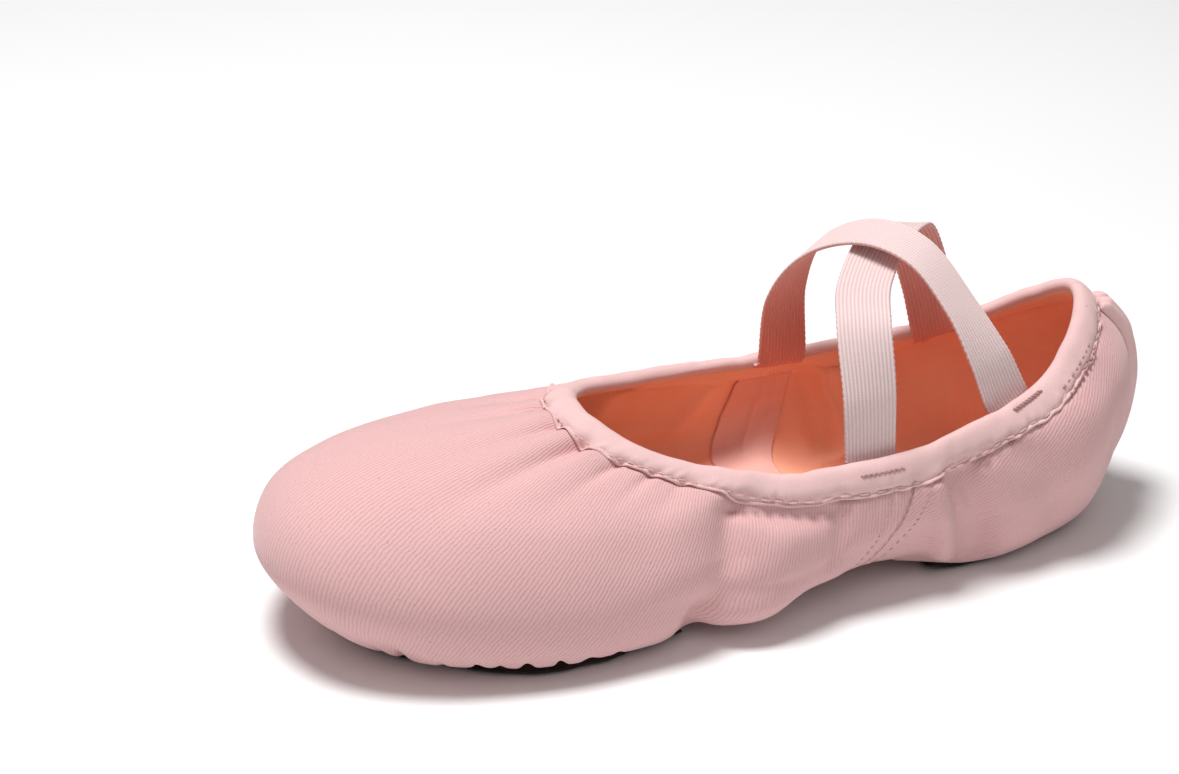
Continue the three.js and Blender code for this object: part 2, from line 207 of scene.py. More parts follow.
def relief(u, v):
    """How far the worn canvas stands above the plain surface, in mm."""
    us = np.mod(u + TURN / 2, TURN) - TURN / 2
    k = np.abs(us)
    left, right = us > 0, us <= 0
    s = drop_at(u, v)
    a = signed(_ARC, u)
    e = signed(_EDGE, u)
    d = 0.45 * noise2(a / 23 + 30, s / 17 + 5, 5) + 0.16 * noise2(a / 8 + 30, s / 8 + 5, 6)
    for place, height, width, length in THROAT:
        fan = a - place * (1 + 0.006 * np.clip(s - 9, 0, 40))
        d = d + height * hump(fan, 0, width * (1 + 0.03 * np.clip(s - 9, 0, 60))) \
            * np.exp(-np.clip(s - 9, 0, 200) / length) * smooth(s, 6, 9)
    # small puckers along the stitched line
    d = d - 0.35 * np.clip(noise(a / 2.6 + 300, 8), 0, 1) * hump(s, 10.6, 2.6)
    d = d - 0.55 * hump(s, 8.6, 1.2)
    # pleats under the toe
    pleat = 0 * d
    for place, depth, width in PLEATS:
        pleat = pleat - depth * hump(e - place, 0, width)
    toe = 1 - smooth(k, 3.2, 4.0)
    d = d + (pleat + 0.5) * hump(v, 1.06, 0.24) * toe
    d = d + 0.8 * hump(v, 1.42, 0.24) * noise(e / 9 + 40, 9) * toe
    # pad edge of the ball: the canvas creases, then bags out below the arch
    arch = window(v, 0.25, 1.75, 0.25)
    d = d - 2.8 * hump(k, 4.2, 0.09) * window(v, 0.5, 1.75, 0.25)
    d = d + 2.3 * hump(k, 4.55, 0.24) * arch
    d = d + 0.9 * hump(k, 5.15, 0.25) * arch
    # left side: the soft folds between the vamp and the seam
    lv = np.where(left, 1.0, 0.0)
    valley = np.interp(v, [1.2, 1.7, 2.5, 3.0, 3.45], [4.17, 4.24, 4.27, 4.17, 4.05])
    depth = np.interp(v, [0.9, 1.3, 1.7, 2.2, 2.8, 3.3, 3.7], [0, 1.6, 2.3, 2.0, 2.5, 3.2, 1.2])
    d = d - lv * depth * hump(k, valley, 0.15)
    d = d + lv * 1.5 * hump(k, 3.72 + 0.2 * (3.2 - v), 0.24) * window(v, 2.2, 3.6, 0.35)
    d = d - lv * 1.9 * hump(s, 11, 2.8) * window(k, 4.1, 5.2, 0.12)
    d = d + lv * 2.0 * hump(k, 4.68, 0.24) * window(v, 1.0, 2.9, 0.4)
    d = d - lv * 1.4 * hump(k, 5.24 + 0.1 * (v - 2.9), 0.09) * window(v, 1.9, 3.6, 0.35)
    # right side: the same slack, folded in its own places
    rv = 1 - lv
    d = d - rv * 1.5 * hump(k, 3.85 + 0.25 * (3.4 - v), 0.14) * window(v, 2.3, 3.7, 0.25)
    d = d + rv * 1.1 * hump(k, 4.5, 0.28) * window(v, 1.7, 3.2, 0.4)
    d = d - rv * 1.2 * hump(k, 4.95 + 0.2 * (v - 2.8), 0.10) * window(v, 1.9, 3.5, 0.3)
    # the sharp fold behind the side seam, over the front of the heel pad
    fold = np.interp(v, [1.25, 1.75, 2.6, 3.35], [6.72, 6.6, 6.4, 6.3]) - 0.25 * rv
    reach = window(v, 1.15, 3.25, 0.2)
    d = d + 2.0 * hump(k, fold - 0.14, 0.12) * reach
    d = d - 1.5 * hump(k, fold + 0.04, 0.06) * reach
    d = d - 2.9 * hump(k, fold + 0.24, 0.18) * reach
    d = d - 1.6 * hump(k, 6.42, 0.22) * hump(v, 1.12, 0.3)
    # heel: dimples under the casing and soft slanting hollows
    d = d - lv * 1.8 * np.exp(-((k - 6.82) / 0.15) ** 2 - ((v - 3.28) / 0.24) ** 2)
    d = d - lv * 1.3 * np.exp(-((k - 7.22) / 0.07) ** 2 - ((v - 3.4) / 0.12) ** 2)
    d = d - rv * 1.2 * np.exp(-((k - 7.5) / 0.10) ** 2 - ((v - 3.35) / 0.2) ** 2)
    d = d - 1.5 * hump(k, 7.25 + 0.32 * (3.3 - v), 0.2) * window(v, 1.5, 3.2, 0.35)
    d = d + 0.9 * hump(k, 8.15 + 0.2 * (3.3 - v), 0.3) * window(v, 1.6, 3.4, 0.4)
    d = d - 0.7 * hump(k, 8.75, 0.22) * window(v, 1.8, 3.5, 0.4)
    # side seam: a flat double layer with the seam sunk in it
    for side, on in ((1, lv), (-1, rv)):
        x = (k - seam(side, v)) * 26
        d = d + on * smooth(v, 0.9, 1.3) * (0.25 * window(x, -4.6, 4.6, 0.5) - 0.75 * hump(x, 0, 0.6))
    # flat on the sole, free in the arch
    ground = np.where((k < 4.3) | (k > 6.3), smooth(v, 0.82, 1.12), smooth(v, 0.0, 0.5))
    return d * ground


def bare(u):
    """Where the canvas is drawn up and the forefoot pad's edge shows below it."""
    k = np.abs(np.mod(u + TURN / 2, TURN) - TURN / 2)
    return window(k, 2.35, 3.75, 0.25)


def cloth(u, v, out):
    """A point of the worn upper at height out above the canvas face."""
    p = surface(u, v) + normal(u, v) * (relief(u, v) + out)[..., None] + SHIFT
    p[..., 2] += 1.3 * bare(u) * hump(v, 1.0, 0.28)
    return p


def plain(u, v, out):
    return surface(u, v) + normal(u, v) * np.asarray(out, float)[..., None] + SHIFT


# ---------------------------------------------------------------- mesh making
def mesh_object(name, points, faces, uv=None, material=None, merge_centre=False):
    """points in mm; uv is one pair per face corner, in mm."""
    mesh = bpy.data.meshes.new(name)
    mesh.from_pydata((np.asarray(points).reshape(-1, 3) * 0.001).tolist(), [], faces.tolist())
    if uv is not None:
        layer = mesh.uv_layers.new(name="cloth")
        layer.data.foreach_set("uv", (np.asarray(uv) * 0.01).astype(np.float32).ravel())
    mesh.polygons.foreach_set("use_smooth", [True] * len(mesh.polygons))
    obj = bpy.data.objects.new(name, mesh)
    bpy.context.scene.collection.objects.link(obj)
    if merge_centre:
        bm = bmesh.new()
        bm.from_mesh(mesh)
        bmesh.ops.remove_doubles(bm, verts=[w for w in bm.verts if abs(w.co.x) < 1e-6], dist=1e-6)
        bm.to_mesh(mesh)
        bm.free()
    if material:
        mesh.materials.append(material)
    mesh.update()
    return obj


def grid_faces(index, wrap_u=False, wrap_v=False):
    if wrap_u:
        index = np.concatenate([index, index[:1]], axis=0)
    if wrap_v:
        index = np.concatenate([index, index[:, :1]], axis=1)
    return np.stack([index[:-1, :-1], index[1:, :-1], index[1:, 1:], index[:-1, 1:]],
                    axis=-1).reshape(-1, 4)


def corners(uv):
    return np.stack([uv[:-1, :-1], uv[1:, :-1], uv[1:, 1:], uv[:-1, 1:]], axis=2).reshape(-1, 2)


def shell(name, outer, inner, uv, material, bottom_open=False):
    """A cloth panel: outer and inner faces of one grid, with its rims closed."""
    nu, nv = outer.shape[:2]
    a = np.arange(nu * nv).reshape(nu, nv)
    b = a + nu * nv
    faces = [grid_faces(a), grid_faces(b)[:, ::-1]]
    uvs = [corners(uv), corners(uv).reshape(-1, 4, 2)[:, ::-1].reshape(-1, 2)]
    rims = [(a[:, -1], b[:, -1], uv[:, -1], False), (a[0], b[0], uv[0], False),
            (a[-1], b[-1], uv[-1], True)]
    if not bottom_open:
        rims.append((a[:, 0], b[:, 0], uv[:, 0], True))
    for top, low, edge, flip in rims:
        f = np.stack([top[:-1], top[1:], low[1:], low[:-1]], axis=-1)
        c = np.stack([edge[:-1], edge[1:], edge[1:], edge[:-1]], axis=1)
        if flip:
            f, c = f[:, ::-1], c[:, ::-1]
        faces.append(f)
        uvs.append(c.reshape(-1, 2))
    return mesh_object(name, np.concatenate([outer.reshape(-1, 3), inner.reshape(-1, 3)]),
                       np.concatenate(faces), np.concatenate(uvs), material,
                       merge_centre=bottom_open)


def tube_rows(name, rows, uv, material, wrap_u=False):
    """A swept closed outline, with flat ends unless it closes on itself. rows is
    (steps, outline, 3)."""
    n, m = rows.shape[:2]
    index = np.arange(n * m).reshape(n, m)
    faces, coords = [grid_faces(index, wrap_u, True)], [corners(uv)]
    if not wrap_u:
        near = np.arange(m // 2 - 1)
        for row, flip in ((0, False), (n - 1, True)):
            ring = index[row]
            cap = np.stack([ring[near], ring[near + 1], ring[m - 2 - near], ring[m - 1 - near]], axis=-1)
            faces.append(cap[:, ::-1] if flip else cap)
            coords.append(np.zeros((len(cap) * 4, 2)))
    return mesh_object(name, rows, np.concatenate(faces), np.concatenate(coords), material)


def stitches(name, start, end, normals, radius, material, dip=0.35):
    """Short rounded threads from start to end, sunk a little at both ends."""
    start, end, normals = (np.asarray(x, float) for x in (start, end, normals))
    along = np.array([-0.5, -0.42, -0.22, 0, 0.22, 0.42, 0.5])
    size = np.array([0.05, 0.6, 0.95, 1, 0.95, 0.6, 0.05])
    d = end - start
    length = np.linalg.norm(d, axis=1, keepdims=True)
    t = d / length
    n = normals - t * (normals * t).sum(1, keepdims=True)
    n /= np.linalg.norm(n, axis=1, keepdims=True)
    side = np.cross(t, n)
    ang = np.linspace(0, 2 * np.pi, 6, endpoint=False)
    mid = (start + end) / 2
    rings = []
    for x, r in zip(along, size):
        centre = mid + d * x - n * dip * (2 * x) ** 2 * radius * 2
        rings.append(centre[:, None] + radius * r * (np.cos(ang)[None, :, None] * side[:, None]
                                                     + np.sin(ang)[None, :, None] * n[:, None]))
    rows = np.stack(rings, axis=1)                       # (stitches, 7, 6, 3)
    k, a, b = rows.shape[:3]
    index = np.arange(a * b).reshape(a, b)
    one = grid_faces(index, False, True)[:, ::-1]
    faces = (one[None] + (np.arange(k) * a * b)[:, None, None]).reshape(-1, 4)
    uv = np.zeros((len(faces) * 4, 2))
    return mesh_object(name, rows.reshape(-1, 3), faces, uv, material)


def row_of_stitches(name, place, length, stitch, gap, radius, material, **kw):
    """place(t) gives (point, normal) at share t of a line of that length."""
    count = max(1, int(length / (stitch + gap)))
    t0 = np.arange(count) / count
    t1 = t0 + stitch / (stitch + gap) / count
    p0, n0 = place(t0)
    p1, _ = place(t1)
    return stitches(name, p0, p1, n0, radius, material, **kw)


# ---------------------------------------------------------------- materials
class Look:
    """A node material built up in code."""

    def __init__(self, name, roughness=0.9, sheen=0.0, sheen_tint=(1, 1, 1), specular=0.3):
        mat = bpy.data.materials.new(name)
        mat.use_nodes = True
        self.take(mat)
        self.bsdf.inputs["Roughness"].default_value = roughness
        self.bsdf.inputs["Sheen Weight"].default_value = sheen
        self.bsdf.inputs["Sheen Tint"].default_value = (*sheen_tint, 1)
        self.bsdf.inputs["Sheen Roughness"].default_value = 0.5
        self.bsdf.inputs["Specular IOR Level"].default_value = specular

    def take(self, mat):
        self.mat = mat
        self.tree = mat.node_tree
        self.bsdf = self.tree.nodes["Principled BSDF"]

    @classmethod
    def of(cls, mat):
        """A finished material, taken up again to be added to."""
        look = cls.__new__(cls)
        look.take(mat)
        return look

    def node(self, kind, **values):
        n = self.tree.nodes.new(kind)
        for key, value in values.items():
            if hasattr(n, key):
                setattr(n, key, value)
            else:
                n.inputs[key].default_value = value
        return n

    def link(self, a, b):
        self.tree.links.new(a, b)

    def math(self, op, a, b=None, c=None, clamp=False):
        n = self.tree.nodes.new("ShaderNodeMath")
        n.operation = op
        n.use_clamp = clamp
        for i, x in enumerate((a, b, c)):
            if x is None:
                continue
            if isinstance(x, (int, float)):
                n.inputs[i].default_value = x
            else:
                self.link(x, n.inputs[i])
        return n.outputs[0]

    def uv(self):
        """x and y in millimetres along the cloth."""
        n = self.node("ShaderNodeUVMap", uv_map="cloth")
        scale = self.node("ShaderNodeVectorMath", operation="SCALE")
        scale.inputs[3].default_value = 100.0
        self.link(n.outputs[0], scale.inputs[0])
        split = self.node("ShaderNodeSeparateXYZ")
        self.link(scale.outputs[0], split.inputs[0])
        return scale.outputs[0], split.outputs[0], split.outputs[1]

    def space(self):
        return self.node("ShaderNodeTexCoord").outputs["Object"]

    def noise(self, vector, scale, detail=3.0, roughness=0.5, distortion=0.0):
        n = self.node("ShaderNodeTexNoise")
        n.inputs["Scale"].default_value = scale
        n.inputs["Detail"].default_value = detail
        n.inputs["Roughness"].default_value = roughness
        n.inputs["Distortion"].default_value = distortion
        self.link(vector, n.inputs["Vector"])
        return n.outputs["Fac"]

    def ramp(self, value, stops):
        n = self.node("ShaderNodeValToRGB")
        n.color_ramp.elements[0].position, n.color_ramp.elements[-1].position = stops[0][0], stops[-1][0]
        n.color_ramp.elements[0].color = (*stops[0][1], 1)
        n.color_ramp.elements[-1].color = (*stops[-1][1], 1)
        for position, colour in stops[1:-1]:
            e = n.color_ramp.elements.new(position)
            e.color = (*colour, 1)
        self.link(value, n.inputs[0])
        return n.outputs[0]

    def mix(self, factor, a, b):
        n = self.tree.nodes.new("ShaderNodeMix")
        n.data_type = "RGBA"
        for socket, x in ((n.inputs[0], factor), (n.inputs[6], a), (n.inputs[7], b)):
            if isinstance(x, (int, float)):
                socket.default_value = x
            elif isinstance(x, tuple):
                socket.default_value = (*x, 1)
            else:
                self.link(x, socket)
        return n.outputs[2]

    def bump(self, height, distance, strength=1.0):
        n = self.node("ShaderNodeBump")
        n.inputs["Distance"].default_value = distance
        n.inputs["Strength"].default_value = strength
        self.link(height, n.inputs["Height"])
        self.link(n.outputs[0], self.bsdf.inputs["Normal"])

    def colour(self, socket):
        self.link(socket, self.bsdf.inputs["Base Color"])


def shade(rgb, k):
    return tuple(min(1.0, c * k) for c in rgb)


def twill(name, base, groove, pitch=0.9, angle=43, depth=0.0001, **kw):
    """Diagonal twill canvas, with slubs, faint blotches and dark flecks."""
    m = Look(name, **kw)
    vector, x, y = m.uv()
    wobble = m.noise(vector, 0.35, 2)
    ca, sa = math.cos(math.radians(angle)), math.sin(math.radians(angle))
    across = m.math("ADD", m.math("MULTIPLY", x, -sa), m.math("MULTIPLY", y, ca))
    down = m.math("ADD", m.math("MULTIPLY", x, ca), m.math("MULTIPLY", y, sa))
    phase = m.math("ADD", m.math("DIVIDE", across, pitch), m.math("MULTIPLY", wobble, 0.9))
    rib = m.math("MULTIPLY_ADD", m.math("SINE", m.math("MULTIPLY", phase, 2 * math.pi)), 0.5, 0.5)
    step = m.math("FRACT", m.math("ADD", m.math("DIVIDE", down, pitch * 0.62),
                                  m.math("MULTIPLY", m.math("FLOOR", phase), 0.37)))
    crown = m.math("MULTIPLY", m.math("PINGPONG", step, 0.5), 2.0)
    height = m.math("MULTIPLY", m.math("POWER", rib, 0.6), m.math("MULTIPLY_ADD", crown, 0.35, 0.65))
    slub = m.noise(vector, 1.4, 2)
    blotch = m.noise(vector, 0.06, 3)
    tone = m.math("ADD", m.math("MULTIPLY", height, 0.75),
                  m.math("MULTIPLY", m.math("SUBTRACT", slub, 0.5), 0.55))
    colour = m.ramp(tone, [(0.0, groove), (0.34, shade(base, 0.95)), (0.8, base)])
    colour = m.mix(m.math("MULTIPLY", blotch, 0.35), colour, shade(base, 0.86))
    fleck = m.noise(vector, 1.1, 1, 0.4)
    fleck = m.math("GREATER_THAN", fleck, 0.745)
    colour = m.mix(m.math("MULTIPLY", fleck, 0.4), colour, shade(groove, 0.55))
    m.colour(colour)
    m.bump(m.math("ADD", height, m.math("MULTIPLY", slub, 0.35)), depth, 0.9)
    return m.mat


def plain_weave(name, base, groove, pitch=0.55, depth=0.00006, **kw):
    m = Look(name, **kw)
    vector, x, y = m.uv()
    wx = m.math("SINE", m.math("MULTIPLY", x, 2 * math.pi / pitch))
    wy = m.math("SINE", m.math("MULTIPLY", y, 2 * math.pi / pitch))
    height = m.math("MULTIPLY_ADD", m.math("MULTIPLY", wx, wy), 0.5, 0.5)
    blotch = m.noise(vector, 0.08, 4)
    slub = m.noise(vector, 0.9, 2)
    tone = m.math("ADD", m.math("MULTIPLY", height, 0.5),
                  m.math("ADD", m.math("MULTIPLY", blotch, 0.5), m.math("MULTIPLY", slub, 0.2)))
    m.colour(m.ramp(tone, [(0.2, groove), (0.6, base), (0.95, shade(base, 1.08))]))
    m.bump(m.math("ADD", height, m.math("MULTIPLY", slub, 0.6)), depth, 0.8)
    return m.mat


def elastic_look(name, base, groove, **kw):
    """Knitted elastic: cords along its length, with the knit's small steps across them."""
    m = Look(name, **kw)
    vector, x, y = m.uv()
    cord = m.math("MULTIPLY_ADD", m.math("COSINE", m.math("MULTIPLY", x, 2 * math.pi)), 0.5, 0.5)
    slant = m.math("ADD", y, m.math("MULTIPLY", m.math("PINGPONG", x, 0.5), 0.9))
    knit = m.math("MULTIPLY_ADD", m.math("SINE", m.math("MULTIPLY", slant, 2 * math.pi / 0.8)), 0.5, 0.5)
    height = m.math("MULTIPLY", m.math("POWER", cord, 0.5), m.math("MULTIPLY_ADD", knit, 0.4, 0.6))
    fuzz = m.noise(vector, 1.7, 3)
    tone = m.math("ADD", m.math("MULTIPLY", height, 0.8), m.math("MULTIPLY", fuzz, 0.3))
    m.colour(m.ramp(tone, [(0.1, groove), (0.55, shade(base, 0.94)), (0.95, base)]))
    m.bump(m.math("ADD", height, m.math("MULTIPLY", fuzz, 0.4)), 0.00012, 0.8)
    return m.mat


def warmed(mat, colour, low, high, amount):
    """Turns a finished look towards a colour below a height given in metres."""
    m = Look.of(mat)
    old = m.bsdf.inputs["Base Color"].links[0].from_socket
    split = m.node("ShaderNodeSeparateXYZ")
    m.link(m.space(), split.inputs[0])
    wave = m.math("MULTIPLY", m.noise(m.space(), 90, 2), 0.006)
    share = m.node("ShaderNodeMapRange", interpolation_type="SMOOTHSTEP")
    share.inputs["From Min"].default_value = high
    share.inputs["From Max"].default_value = low
    share.inputs["To Max"].default_value = amount
    m.link(m.math("ADD", split.outputs[2], wave), share.inputs["Value"])
    m.colour(m.mix(share.outputs[0], old, colour))
    return mat


def suede_look(name):
    m = Look(name, roughness=0.95, sheen=0.35, sheen_tint=(0.6, 0.5, 0.45), specular=0.15)
    p = m.space()
    nap = m.noise(p, 900, 4, 0.65)
    patch = m.noise(p, 60, 4, 0.6)
    scuff = m.noise(p, 220, 3, 0.7, 1.2)
    tone = m.math("ADD", m.math("MULTIPLY", nap, 0.45), m.math("MULTIPLY", patch, 0.55))
    colour = m.ramp(tone, [(0.3, (0.012, 0.009, 0.008)), (0.55, (0.030, 0.022, 0.019)),
                           (0.8, (0.062, 0.047, 0.040))])
    worn = m.math("MULTIPLY", m.math("SUBTRACT", scuff, 0.62), 4.0, clamp=True)
    m.colour(m.mix(m.math("MULTIPLY", worn, 0.4), colour, (0.11, 0.085, 0.07)))
    m.bump(m.math("ADD", nap, m.math("MULTIPLY", scuff, 0.6)), 0.00025, 0.8)
    return m.mat


def foam_look(name):
    m = Look(name, roughness=1.0, specular=0.1)
    p = m.space()
    cells = m.node("ShaderNodeTexVoronoi")
    cells.inputs["Scale"].default_value = 1600
    m.link(p, cells.inputs["Vector"])
    tone = m.math("ADD", cells.outputs["Distance"], m.math("MULTIPLY", m.noise(p, 90, 3), 0.5))
    m.colour(m.ramp(tone, [(0.1, (0.52, 0.36, 0.30)), (0.7, (0.80, 0.62, 0.54))]))
    m.bump(cells.outputs["Distance"], 0.0002, 0.8)
    return m.mat


def thread_look(name, base, dark):
    m = Look(name, roughness=0.7, sheen=0.2, specular=0.4)
    p = m.space()
    ply = m.node("ShaderNodeTexWave", wave_type="BANDS", bands_direction="DIAGONAL")
    ply.inputs["Scale"].default_value = 900
    ply.inputs["Distortion"].default_value = 1.0
    m.link(p, ply.inputs["Vector"])
    m.colour(m.mix(m.math("MULTIPLY", ply.outputs["Fac"], 0.6), dark, base))
    m.bump(ply.outputs["Fac"], 0.00008, 0.7)
    return m.mat


PINK = (0.800, 0.490, 0.487)
PINK_GROOVE = (0.650, 0.335, 0.335)
PALE = (0.810, 0.540, 0.530)
CORAL = (1.000, 0.490, 0.330)
CORAL_GROOVE = (0.940, 0.370, 0.230)
TAPE, TAPE_GROOVE, TAPE_LOW = (0.900, 0.420, 0.320), (0.80, 0.290, 0.210), (0.86, 0.52, 0.46)
INSOLE, INSOLE_GROOVE = (0.86, 0.50, 0.42), (0.74, 0.36, 0.29)
ELASTIC, ELASTIC_GROOVE = (0.84, 0.66, 0.65), (0.66, 0.46, 0.46)
# Strap elastic for its face towards the foot: darker and redder as painted shade, with a coral low colour
# that is painted reflection of the lining.
ELASTIC_SHADED, ELASTIC_SHADED_GROOVE, ELASTIC_CORAL_REFLECTION = (0.86, 0.56, 0.53), (0.70, 0.36, 0.33), (0.80, 0.25, 0.18)
CORD, CORD_GROOVE = (0.85, 0.78, 0.76), (0.6, 0.5, 0.5)
THREAD, THREAD_SHADE = (0.86, 0.66, 0.64), (0.60, 0.34, 0.33)
# The tack and casing-join thread is coloured darker than the pale pink thread: painted shade of the stitch
# pits around it.
SHADED_TACK, TACK_SHADE = (0.62, 0.36, 0.355), (0.42, 0.20, 0.20)
canvas = twill("canvas", PINK, PINK_GROOVE, sheen=0.25, specular=0.2)
casing_cloth = plain_weave("casing_canvas", PALE, shade(PALE, 0.82), pitch=0.62, depth=0.00006,
                           sheen=0.12, specular=0.2)
strip_cloth = plain_weave("strip_canvas", PALE, shade(PALE, 0.84), pitch=0.62, depth=0.00004,
                          sheen=0.12, specular=0.2)
lining = plain_weave("lining", CORAL, CORAL_GROOVE, sheen=0.05, specular=0.1)
tape_cloth = warmed(plain_weave("tape", TAPE, TAPE_GROOVE, pitch=0.7, specular=0.1),
                    TAPE_LOW, 0.014, 0.030, 0.8)
insole_cloth = plain_weave("insole_cloth", INSOLE, INSOLE_GROOVE, pitch=0.6, specular=0.1)
elastic = elastic_look("elastic", ELASTIC, ELASTIC_GROOVE, sheen=0.1, specular=0.3, roughness=0.75)
# The strap's face towards the foot: painted shade, turned coral towards the bottom as painted reflection of
# the coral lining.
elastic_painted_shade = warmed(elastic_look("elastic_painted_shade", ELASTIC_SHADED, ELASTIC_SHADED_GROOVE, sheen=0.1, specular=0.2,
                                    roughness=0.8), ELASTIC_CORAL_REFLECTION, 0.045, 0.082, 0.85)
cord_look = elastic_look("cord_elastic", CORD, CORD_GROOVE, roughness=0.8)
suede = suede_look("suede")
foam = foam_look("foam")
thread = thread_look("thread", THREAD, THREAD_SHADE)
# Darker thread for the bar tacks and casing joins: painted shade.
shaded_thread = thread_look("shaded_thread", SHADED_TACK, TACK_SHADE)


# ---------------------------------------------------------------- flattening for the weave
def flatten(u, v):
    """Cloth coordinates in mm of a panel on the grid u x v, laid flat with little stretch."""
    p = surface(u, v)
    nu, nv = p.shape[:2]
    obj = mesh_object("flat_work", p, grid_faces(np.arange(nu * nv).reshape(nu, nv)))
    mesh = obj.data
    mesh.uv_layers.new(name="flat")
    bpy.context.view_layer.objects.active = obj
    obj.select_set(True)
    bpy.ops.object.mode_set(mode="EDIT")
    bpy.ops.mesh.select_all(action="SELECT")
    bpy.ops.uv.unwrap(method="MINIMUM_STRETCH", iterations=12, margin=0.0)
    bpy.ops.object.mode_set(mode="OBJECT")
    loops = np.zeros(len(mesh.loops) * 2)
    mesh.uv_layers["flat"].data.foreach_get("uv", loops)
    vert = np.zeros(len(mesh.loops), int)
    mesh.loops.foreach_get("vertex_index", vert)
    flat = np.zeros((nu * nv, 2))
    flat[vert] = loops.reshape(-1, 2)
    bpy.data.objects.remove(obj)
    flat = flat.reshape(nu, nv, 2)

    def area(q):
        a, b = q[1:, :-1] - q[:-1, :-1], q[:-1, 1:] - q[:-1, :-1]
        if q.shape[2] == 2:
            return np.abs(a[..., 0] * b[..., 1] - a[..., 1] * b[..., 0]).sum()
        return np.linalg.norm(np.cross(a, b), axis=-1).sum()
    flat = flat * math.sqrt(area(p) / area(flat))
    return flat


def resample(flat, x, y):
    """The flattened coordinates at grid places x, y of the same panel, run on past its edges."""
    i = np.clip(x.astype(int), 0, flat.shape[0] - 2)
    j = np.clip(y.astype(int), 0, flat.shape[1] - 2)
    a, b = (x - i)[..., None], (y - j)[..., None]
    return ((1 - a) * (1 - b) * flat[i, j] + a * (1 - b) * flat[i + 1, j]
            + (1 - a) * b * flat[i, j + 1] + a * b * flat[i + 1, j + 1])


def turn_to(flat, p, i, j):
    """Turns the coordinates so that x runs towards the heel at grid point (i, j)."""
    du = flat[i + 1, j] - flat[i, j]
    dv = flat[i, j + 1] - flat[i, j]
    pu, pv = p[i + 1, j] - p[i, j], p[i, j + 1] - p[i, j]
    want = np.array([0.0, 1.0, 0.0])
    n = np.cross(pu, pv)
    n /= np.linalg.norm(n)
    want -= n * want.dot(n)
    c = np.linalg.lstsq(np.stack([pu, pv], axis=1), want, rcond=None)[0]
    d = c[0] * du + c[1] * dv
    up = np.cross(n, want)
    c2 = np.linalg.lstsq(np.stack([pu, pv], axis=1), up, rcond=None)[0]
    e = c2[0] * du + c2[1] * dv
    ang = -math.atan2(d[1], d[0])
    r = np.array([[math.cos(ang), -math.sin(ang)], [math.sin(ang), math.cos(ang)]])
    flat = flat @ r.T
    if (r @ e)[1] < 0:
        flat[..., 1] *= -1
    return flat


# ---------------------------------------------------------------- fixing pieces to bodies
def attach(obj, body, nodes):
    """Rides on its body, or stays in place, unparented, where it lies across the arch."""
    ys = np.array([w.co.y for w in obj.data.vertices])
    if ys.min() < FLEX[1][1] and ys.max() > FLEX[0][1]:
        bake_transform(obj)
    else:
        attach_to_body(obj, body)
    if nodes:
        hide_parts(*nodes)
    return obj


DENSE = 1.0


def steps(n):
    return int(n * DENSE) + 1


# ---------------------------------------------------------------- upper and lining
def panel_grid(kind, nu, nv, low=0.0):
    """Stations and rings of a panel's grid: the vamp, or the left or right quarter."""
    s = np.linspace(0, 1, nu)[:, None]
    t = np.linspace(0, 1, nv)[None, :]
    guess = low + (TOP - low) * t
    lo, hi = {"vamp": (-seam(-1, guess), seam(1, guess)),
              "left": (seam(1, guess) + 0.006, 0 * guess + HEEL),
              "right": (0 * guess + HEEL, TURN - seam(-1, guess) - 0.006)}[kind]
    u = lo + (hi - lo) * s
    v = low + (v_at(u, EDGE_DROP) - low) * t
    return u, v


FLAT_LOW = 0.9                        # the ring from which a panel is laid flat
FLAT = {}


def cloth_panel(kind, node, nu, nv, out, thick, material, body, reference):
    if kind not in FLAT:
        cu, cv = panel_grid(kind, 61 if kind == "vamp" else 25, 25, FLAT_LOW)
        FLAT[kind] = turn_to(flatten(cu, cv), surface(cu, cv), *reference)
    flat = FLAT[kind]
    nu, nv = steps(nu), steps(nv)
    u, v = panel_grid(kind, nu, nv)
    x = np.linspace(0, flat.shape[0] - 1, nu)[:, None] + 0 * v
    y = (v - FLAT_LOW) / (v[:, -1:] - FLAT_LOW) * (flat.shape[1] - 1)
    outer, inner = cloth(u, v, out + 0 * u), cloth(u, v, out - thick + 0 * u)
    side = {"left": 1, "right": -1}.get(kind, 0)
    for p in (outer, inner):
        p[..., 2] = np.maximum(p[..., 2], SOLE_TOP - out)
        if side:
            p[..., 0] = side * np.maximum(side * p[..., 0], 0.02)
    obj = shell(node, outer, inner, resample(flat, x, y), material, kind == "vamp")
    return attach(obj, body, [node])


for layer, slot_name, out, thick, material in (
        ("canvas", "canvas", 0.0, CANVAS_T, canvas),
        ("lining", "lining", -LINING_D, INNER_D - LINING_D, lining)):
    cloth_panel("vamp", f"vamp_{layer}", 620, 200, out, thick, material, "forefoot", (44, 12))
    for side in ("left", "right"):
        cloth_panel(side, f"quarter_{layer}_{side}", 260, 200, out, thick, material,
                    "heel", (10, 12))


# ---------------------------------------------------------------- casing, drawcord, stitching
RISE_SHARE = 0.88                     # how much of the casing's rise its fold follows


